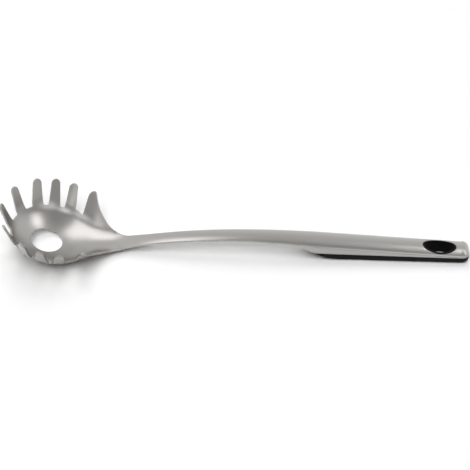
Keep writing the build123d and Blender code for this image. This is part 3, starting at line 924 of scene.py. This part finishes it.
def liner_tree(sizes):
    """Nodes that carry a lip, wall and funnel round an oval, and lay the lip on the back."""
    tree = bpy.data.node_groups.new("moulded_liner", "GeometryNodeTree")
    for name, value in sizes.items():
        socket = tree.interface.new_socket(name, in_out="INPUT", socket_type="NodeSocketFloat")
        socket.default_value = value
    tree.interface.new_socket("Material", in_out="INPUT", socket_type="NodeSocketMaterial")
    tree.interface.new_socket("Liner", in_out="OUTPUT", socket_type="NodeSocketGeometry")
    given = add_node(tree, "NodeGroupInput").outputs

    def fed(node, terms):
        for k, term in enumerate(terms):
            if isinstance(term, (int, float)):
                node.inputs[k].default_value = term
            else:
                tree.links.new(term, node.inputs[k])
        return node.outputs[0]

    def maths(operation, *terms):
        return fed(add_node(tree, "ShaderNodeMath", {"operation": operation}), terms)

    def point(across, up):
        return fed(add_node(tree, "ShaderNodeCombineXYZ"), (across, up))

    wall, lip, top = given["Wall"], given["Lip"], given["Back height"]
    waist, foot, narrow = given["Waist height"], given["Foot height"], given["Narrowing"]
    inner = maths("SUBTRACT", wall, lip)
    shoulder = maths("SUBTRACT", top, lip)
    soft = maths("MULTIPLY", lip, 0.29)
    near_top = maths("SUBTRACT", top, soft)
    profile = (
        point(narrow, foot),
        point(0.0, waist),
        point(0.0, shoulder),
        point(soft, near_top),
        point(lip, top),
        point(inner, top),
        point(maths("SUBTRACT", wall, soft), near_top),
        point(wall, shoulder),
        point(wall, waist),
        point(maths("ADD", wall, narrow), foot),
    )
    ring = add_node(
        tree, "GeometryNodeCurvePrimitiveCircle", values={"Resolution": 120, "Radius": 1.0}
    )
    long, short = given["Half length"], given["Half width"]
    size = add_node(tree, "ShaderNodeCombineXYZ", links={0: long, 1: short})
    place = add_node(tree, "GeometryNodeInputPosition")
    scaled = add_node(
        tree, "ShaderNodeVectorMath", {"operation": "MULTIPLY"},
        links={0: place.outputs[0], 1: size.outputs[0]},
    )
    oval = add_node(
        tree, "GeometryNodeSetPosition",
        links={"Geometry": ring.outputs["Curve"], "Position": scaled.outputs[0]},
    )
    upright = add_node(
        tree, "GeometryNodeSetCurveNormal", {"mode": "Z_UP"}, links={"Curve": oval.outputs[0]}
    )
    line = add_node(tree, "GeometryNodeMeshLine", values={"Count": len(profile)})
    shape = add_node(
        tree, "GeometryNodeSetPosition",
        links={"Geometry": line.outputs[0], "Position": table_of(tree, profile)},
    )
    outline = add_node(tree, "GeometryNodeMeshToCurve", links={"Mesh": shape.outputs[0]})
    closed = add_node(
        tree, "GeometryNodeSetSplineCyclic", values={"Cyclic": True},
        links={"Geometry": outline.outputs[0]},
    )
    # half a turn brings the profile's wall to the inside of the oval and its lip to the top
    turned = add_node(
        tree, "GeometryNodeTransform", values={"Rotation": (0.0, 0.0, math.pi)},
        links={"Geometry": closed.outputs[0]},
    )
    swept = add_node(
        tree, "GeometryNodeCurveToMesh",
        links={"Curve": upright.outputs[0], "Profile Curve": turned.outputs[0]},
    )
    # over the waist the liner leans with the handle's back and takes its arch
    at = add_node(tree, "ShaderNodeSeparateXYZ", links={0: place.outputs[0]})
    rise = maths("SUBTRACT", top, waist)
    share = maths("DIVIDE", maths("SUBTRACT", at.outputs["Z"], waist), rise)
    share = maths("MINIMUM", maths("MAXIMUM", share, 0.0), 1.0)
    lean = maths("MULTIPLY", at.outputs["X"], given["Back slope"])
    arch = maths("MULTIPLY", maths("MULTIPLY", at.outputs["Y"], at.outputs["Y"]), given["Arch"])
    drop = maths("MULTIPLY", maths("ADD", lean, arch), share)
    down = add_node(tree, "ShaderNodeCombineXYZ", links={2: maths("MULTIPLY", drop, -1.0)})
    leaned = add_node(
        tree, "GeometryNodeSetPosition",
        links={"Geometry": swept.outputs[0], "Offset": down.outputs[0]},
    )
    moved = add_node(tree, "ShaderNodeCombineXYZ", links={0: given["Along"]})
    placed = add_node(
        tree, "GeometryNodeTransform",
        links={"Geometry": leaned.outputs[0], "Translation": moved.outputs[0]},
    )
    real = add_node(tree, "GeometryNodeRealizeInstances", links={0: placed.outputs[0]})
    dressed = add_node(
        tree, "GeometryNodeSetMaterial",
        links={"Geometry": real.outputs[0], "Material": given["Material"]},
    )
    add_node(tree, "NodeGroupOutput", links={0: dressed.outputs[0]})
    return tree


def made_by(tree, name, values):
    """Run a tree on an empty mesh and keep what it makes as a plain mesh object."""
    holder = bpy.data.objects.new(name, bpy.data.meshes.new(name))
    bpy.context.scene.collection.objects.link(holder)
    nodes = holder.modifiers.new(name, "NODES")
    nodes.node_group = tree
    for item in tree.interface.items_tree:
        if item.in_out == "INPUT" and item.name in values:
            nodes[item.identifier] = values[item.name]
    mesh = baked_mesh(holder, name)
    holder.modifiers.remove(nodes)
    holder.data = mesh
    smooth_closed(mesh, MERGE / 2)
    return holder


# Materials


def linear(value):
    """An sRGB hex colour as linear red, green, blue and alpha."""
    parts = [int(value.lstrip("#")[k : k + 2], 16) / 255 for k in (0, 2, 4)]
    parts = [c / 12.92 if c <= 0.04045 else ((c + 0.055) / 1.055) ** 2.4 for c in parts]
    return (*parts, 1.0)


def add_node(tree, kind, settings=None, values=None, links=None):
    """Add a node, set its settings and input values, and link its inputs."""
    node = tree.nodes.new(kind)
    for key, value in (settings or {}).items():
        setattr(node, key, value)
    for key, value in (values or {}).items():
        node.inputs[key].default_value = value
    for key, socket in (links or {}).items():
        tree.links.new(socket, node.inputs[key])
    return node


def new_material(name):
    """A material with an empty node tree, and that tree."""
    material = bpy.data.materials.new(name)
    material.use_nodes = True
    material.node_tree.nodes.clear()
    return material, material.node_tree


def brushed_steel(colours):
    """Stainless steel, pressed and then satin brushed along the tool.

    The belt leaves fine scratches, about 0.05 mm apart on the real one. They are drawn as
    streaks about 0.5 mm apart, because finer ones don't show.
    """
    material, tree = new_material("satin_brushed_stainless_steel")
    place = add_node(tree, "ShaderNodeTexCoord").outputs["Object"]
    along = add_node(
        tree, "ShaderNodeMapping", values={"Scale": (60, 2000, 2000)}, links={"Vector": place}
    )
    streaks = add_node(
        tree, "ShaderNodeTexNoise", values={"Scale": 1.0, "Detail": 3.0, "Roughness": 0.6},
        links={"Vector": along.outputs["Vector"]},
    )
    tone = add_node(
        tree, "ShaderNodeMix", {"data_type": "RGBA"},
        {6: linear(colours.steel_dark), 7: linear(colours.steel)}, {0: streaks.outputs["Fac"]},
    )
    rough = add_node(
        tree, "ShaderNodeMapRange", values={"To Min": 0.26, "To Max": 0.32},
        links={"Value": streaks.outputs["Fac"]},
    )
    bump = add_node(
        tree, "ShaderNodeBump", values={"Strength": 0.03, "Distance": 0.0001},
        links={"Height": streaks.outputs["Fac"]},
    )
    shader = add_node(
        tree, "ShaderNodeBsdfPrincipled", values={"Metallic": 1.0},
        links={
            "Base Color": tone.outputs[2],
            "Roughness": rough.outputs["Result"],
            "Normal": bump.outputs["Normal"],
        },
    )
    add_node(tree, "ShaderNodeOutputMaterial", links={"Surface": shader.outputs["BSDF"]})
    return material


def moulded(name, hex_colour, roughness, grain_mm, ior):
    """A moulded black plastic or rubber with the fine grain of its tool."""
    material, tree = new_material(name)
    place = add_node(tree, "ShaderNodeTexCoord").outputs["Object"]
    grain = add_node(
        tree, "ShaderNodeTexNoise", values={"Scale": 1 / (grain_mm * MM), "Detail": 2.0},
        links={"Vector": place},
    )
    bump = add_node(
        tree, "ShaderNodeBump", values={"Strength": 0.15, "Distance": 0.0001},
        links={"Height": grain.outputs["Fac"]},
    )
    shader = add_node(
        tree, "ShaderNodeBsdfPrincipled",
        values={
            "Base Color": linear(hex_colour),
            "Roughness": roughness,
            "IOR": ior,
            "Specular IOR Level": 0.15,
        },
        links={"Normal": bump.outputs["Normal"]},
    )
    add_node(tree, "ShaderNodeOutputMaterial", links={"Surface": shader.outputs["BSDF"]})
    return material


def white_table(colours):
    """Matt white laminate of a long table, which fades into the white backdrop with distance."""
    material, tree = new_material("white_matt_laminate")
    path = add_node(tree, "ShaderNodeLightPath")
    direct = add_node(
        tree, "ShaderNodeMath", {"operation": "MAXIMUM"},
        links={0: path.outputs["Is Camera Ray"], 1: path.outputs["Is Transmission Ray"]},
    )
    seen = add_node(
        tree, "ShaderNodeMath", {"operation": "MAXIMUM"},
        links={0: direct.outputs[0], 1: path.outputs["Is Glossy Ray"]},
    )
    white = linear(colours.floor)
    near = add_node(tree, "ShaderNodeBsdfDiffuse", values={"Color": white})
    backdrop = add_node(tree, "ShaderNodeEmission", values={"Color": white, "Strength": 1.0})
    place = add_node(tree, "ShaderNodeTexCoord").outputs["Object"]
    away = add_node(tree, "ShaderNodeVectorMath", {"operation": "LENGTH"}, links={0: place})
    far = add_node(
        tree, "ShaderNodeMapRange", {"interpolation_type": "SMOOTHSTEP"},
        {"From Min": FADE_START, "From Max": FADE_END}, {"Value": away.outputs["Value"]},
    )
    share = add_node(
        tree, "ShaderNodeMath", {"operation": "MULTIPLY"},
        links={0: far.outputs["Result"], 1: seen.outputs[0]},
    )
    shader = add_node(
        tree, "ShaderNodeMixShader",
        links={0: share.outputs[0], 1: near.outputs["BSDF"], 2: backdrop.outputs["Emission"]},
    )
    add_node(tree, "ShaderNodeOutputMaterial", links={"Surface": shader.outputs["Shader"]})
    return material


def dress(obj, material):
    """Give an object one material."""
    obj.data.materials.clear()
    obj.data.materials.append(material)


# Operators


class SERVER_OT_head(bpy.types.Operator):
    """Make the pressed bowl with its tines and drain hole"""

    bl_idname = "pasta_server.head"
    bl_label = "Server head"

    def execute(self, context):
        scene = context.scene
        form = HeadForm(scene.server_head)
        s = form.s
        outline, kinds = head_outline(form)
        turns = np.linspace(0, 2 * math.pi, DRAIN_POINTS + 1)[:-1]
        drain = np.stack([np.cos(turns), np.sin(turns)], 1) * s.drain_radius - (s.drain_offset, 0)
        rounded = np.zeros(DRAIN_POINTS, int)
        verts, faces = sheet_from(form, [outline, drain], [kinds, rounded])
        head = mesh_object("bowl_with_tines", form.to_scene(verts), faces)
        dress(head, bpy.data.materials["satin_brushed_stainless_steel"])
        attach(head, "root")
        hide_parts("server_head")
        return {"FINISHED"}


class SERVER_OT_handle(bpy.types.Operator):
    """Make the stem and the steel back of the handle in one piece"""

    bl_idname = "pasta_server.handle"
    bl_label = "Stem and handle"

    def execute(self, context):
        scene = context.scene
        form = HandleForm(HeadForm(scene.server_head), scene.server_handle)
        verts, faces = handle_mesh(form)
        handle = mesh_object("stem_and_handle_shell", verts, faces)
        dress(handle, bpy.data.materials["satin_brushed_stainless_steel"])
        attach(handle, "root")
        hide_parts("stem", "handle_shell")
        return {"FINISHED"}


class SERVER_OT_mouldings(bpy.types.Operator):
    """Give the soft grip, the core and the liner their materials"""

    bl_idname = "pasta_server.mouldings"
    bl_label = "Grip, core and liner"

    def execute(self, context):
        nylon = bpy.data.materials["black_nylon"]
        scene = context.scene
        form = HandleForm(HeadForm(scene.server_head), scene.server_handle)
        handle, liner = scene.server_handle, scene.server_liner
        top = form.crown(form.hole_x)
        waist = top - liner.straight
        sizes = {
            "Half length": handle.hole_length / 2,
            "Half width": handle.hole_width / 2,
            "Wall": liner.wall,
            "Lip": liner.lip,
            "Back height": top,
            "Waist height": waist,
            "Foot height": liner.foot,
            "Narrowing": (waist - liner.foot) * math.tan(liner.taper),
            "Back slope": math.tan(handle.fall),
            "Arch": 0.5 / handle.crown_radius,
            "Along": form.hole_x,
        }
        ring = made_by(liner_tree(sizes), "moulded_hole_liner", {**sizes, "Material": nylon})
        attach(ring, "root")
        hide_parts("hole_liner")
        dress(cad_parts["handle_core"], nylon)
        dress(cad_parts["soft_grip"], bpy.data.materials["black_thermoplastic_rubber"])
        return {"FINISHED"}


class SERVER_OT_finishes(bpy.types.Operator):
    """Make the materials"""

    bl_idname = "pasta_server.finishes"
    bl_label = "Finishes"

    def execute(self, context):
        colours = context.scene.server_finishes
        brushed_steel(colours)
        moulded("black_nylon", colours.nylon, 0.5, 0.4, 1.53)
        moulded("black_thermoplastic_rubber", colours.rubber, 0.55, 0.5, 1.5)
        white_table(colours)
        return {"FINISHED"}


def camera_axes(stage):
    """Right, up and back of the camera, as unit vectors."""
    a, e, r = stage.azimuth, stage.elevation, stage.roll
    back = Vector((math.sin(a) * math.cos(e), -math.cos(a) * math.cos(e), math.sin(e)))
    right = Vector((math.cos(a), math.sin(a), 0))
    up = back.cross(right)
    turned_right = right * math.cos(r) + up * math.sin(r)
    turned_up = up * math.cos(r) - right * math.sin(r)
    return turned_right, turned_up, back


class SERVER_OT_stage(bpy.types.Operator):
    """Make the floor, the lights and the camera"""

    bl_idname = "pasta_server.stage"
    bl_label = "Stage"

    def execute(self, context):
        scene = context.scene
        stage = scene.server_stage
        mesh = bpy.data.meshes.new("table")
        signs = ((-1, -1), (1, -1), (1, 1), (-1, 1))
        corners = [(x * TABLE_REACH, y * TABLE_REACH, FLOOR) for x, y in signs]
        mesh.from_pydata(corners, [], [(0, 1, 2, 3)])
        table = bpy.data.objects.new("table", mesh)
        scene.collection.objects.link(table)
        dress(table, bpy.data.materials["white_matt_laminate"])

        def area(name, location, toward, width, depth, level, broad):
            """A rectangular light. The steel shows a plain one, a broad one lights the rest."""
            light = bpy.data.lights.new(name, "AREA")
            light.shape = "RECTANGLE"
            light.size, light.size_y = width, depth
            light.energy = level * math.pi * width * depth
            obj = bpy.data.objects.new(name, light)
            obj.location = location
            obj.rotation_mode = "QUATERNION"
            obj.rotation_quaternion = (toward - location).to_track_quat("-Z", "Y")
            obj.visible_diffuse = broad
            obj.visible_glossy = not broad
            scene.collection.objects.link(obj)

        def softbox(name, elevation, bearing, width, depth, level, reach=1.0, broad=False):
            """A light turned to the bowl, at a bearing from the back and to the right of it."""
            rise, turn = math.radians(elevation), math.radians(bearing)
            across = math.cos(rise)
            way = Vector((across * math.sin(turn), across * math.cos(turn), math.sin(rise)))
            area(name, BOWL + way * reach, BOWL, width, depth, level, broad)

        # soft lights that only the steel shows, the last one for the handle's lower corner
        softbox("soft_light_above", 63, -52, 0.62, 0.46, stage.key_level)
        softbox("soft_light_right", 50, 70, 0.36, 0.22, stage.side_level)
        softbox("soft_light_front_left", 20, -153, 0.16, 0.4, stage.fill_level)
        softbox("soft_light_front", 60, -174, 0.3, 0.26, stage.front_level)
        softbox("soft_light_left", 47, -122, 0.34, 0.4, stage.left_level)
        place, toward = Vector((0.3, -0.5, 0.55)), Vector((0.08, 0, 0.01))
        area("soft_light_handle", place, toward, 0.4, 0.5, stage.handle_level, False)
        # broad lights for the table and the black parts, which the steel doesn't show
        softbox("broad_light_front", 68, 180, 1.75, 2.0, stage.broad_front_level, 2.5, True)
        softbox("broad_light_back", 50, 0, 1.75, 2.0, stage.broad_back_level, 2.5, True)
        softbox("broad_light_above", 90, 0, 8.0, 8.0, stage.broad_above_level, 4.0, True)

        world = bpy.data.worlds.new("studio")
        scene.world = world
        world.cycles_visibility.diffuse = False
        world.use_nodes = True
        tree = world.node_tree
        tree.nodes.clear()
        # seen from the camera it is white. The steel shows a white sweep behind the tool and a
        # darker room in front of it and overhead. It doesn't light matt surfaces.
        ray = add_node(tree, "ShaderNodeTexCoord")
        parts = add_node(tree, "ShaderNodeSeparateXYZ", links={0: ray.outputs["Generated"]})
        sweep = add_node(
            tree, "ShaderNodeMapRange", {"interpolation_type": "SMOOTHSTEP"},
            {"From Min": -0.15, "From Max": 0.6, "To Min": stage.room_level, "To Max": 1.0},
            {"Value": parts.outputs["Y"]},
        )
        ceiling = add_node(
            tree, "ShaderNodeMapRange", {"interpolation_type": "SMOOTHSTEP"},
            {"From Min": 0.35, "From Max": 0.85, "To Min": 1.0, "To Max": stage.ceiling_share},
            {"Value": parts.outputs["Z"]},
        )
        room = add_node(
            tree, "ShaderNodeMath", {"operation": "MULTIPLY"},
            links={0: sweep.outputs["Result"], 1: ceiling.outputs["Result"]},
        )
        path = add_node(tree, "ShaderNodeLightPath")
        shown = add_node(
            tree, "ShaderNodeMath", {"operation": "MAXIMUM"},
            links={0: path.outputs["Is Camera Ray"], 1: path.outputs["Is Transmission Ray"]},
        )
        level = add_node(
            tree, "ShaderNodeMix", {"data_type": "FLOAT"}, {3: 1.0},
            {0: shown.outputs[0], 2: room.outputs[0]},
        )
        back = add_node(
            tree, "ShaderNodeBackground", values={"Color": (1, 1, 1, 1)},
            links={"Strength": level.outputs[0]},
        )
        add_node(tree, "ShaderNodeOutputWorld", links={"Surface": back.outputs["Background"]})

        camera = bpy.data.cameras.new("camera")
        camera.lens, camera.sensor_width = stage.lens, 36.0
        camera.clip_start, camera.clip_end = 0.01, 20
        obj = bpy.data.objects.new("camera", camera)
        right, up, back = camera_axes(stage)
        place = Matrix((right, up, back)).transposed().to_4x4()
        place.translation = Vector(stage.target) + back * stage.distance
        obj.matrix_world = place
        scene.collection.objects.link(obj)
        scene.camera = obj
        scene.view_settings.view_transform = "Standard"
        return {"FINISHED"}


class SERVER_PT_panel(bpy.types.Panel):
    """Lists the steps that build the pasta server"""

    bl_idname = "SERVER_PT_panel"
    bl_label = "Pasta server"
    bl_space_type = "VIEW_3D"
    bl_region_type = "UI"
    bl_category = "Pasta server"

    def draw(self, context):
        for step in STEPS:
            self.layout.operator(step.bl_idname)


STEPS = (SERVER_OT_finishes, SERVER_OT_head, SERVER_OT_handle, SERVER_OT_mouldings, SERVER_OT_stage)
GROUPS = {
    "server_head": HeadSizes,
    "server_handle": HandleSizes,
    "server_liner": LinerSizes,
    "server_finishes": Finishes,
    "server_stage": Stage,
}
CLASSES = tuple(GROUPS.values()) + STEPS + (SERVER_PT_panel,)


def register():
    for cls in CLASSES:
        bpy.utils.register_class(cls)
    for name, group in GROUPS.items():
        setattr(bpy.types.Scene, name, bpy.props.PointerProperty(type=group))


def unregister():
    for name in GROUPS:
        delattr(bpy.types.Scene, name)
    for cls in reversed(CLASSES):
        bpy.utils.unregister_class(cls)


def main():
    """Make everything."""
    register()
    for step in STEPS:
        group, name = step.bl_idname.split(".")
        getattr(getattr(bpy.ops, group), name)()


if __name__ == "__main__":
    main()
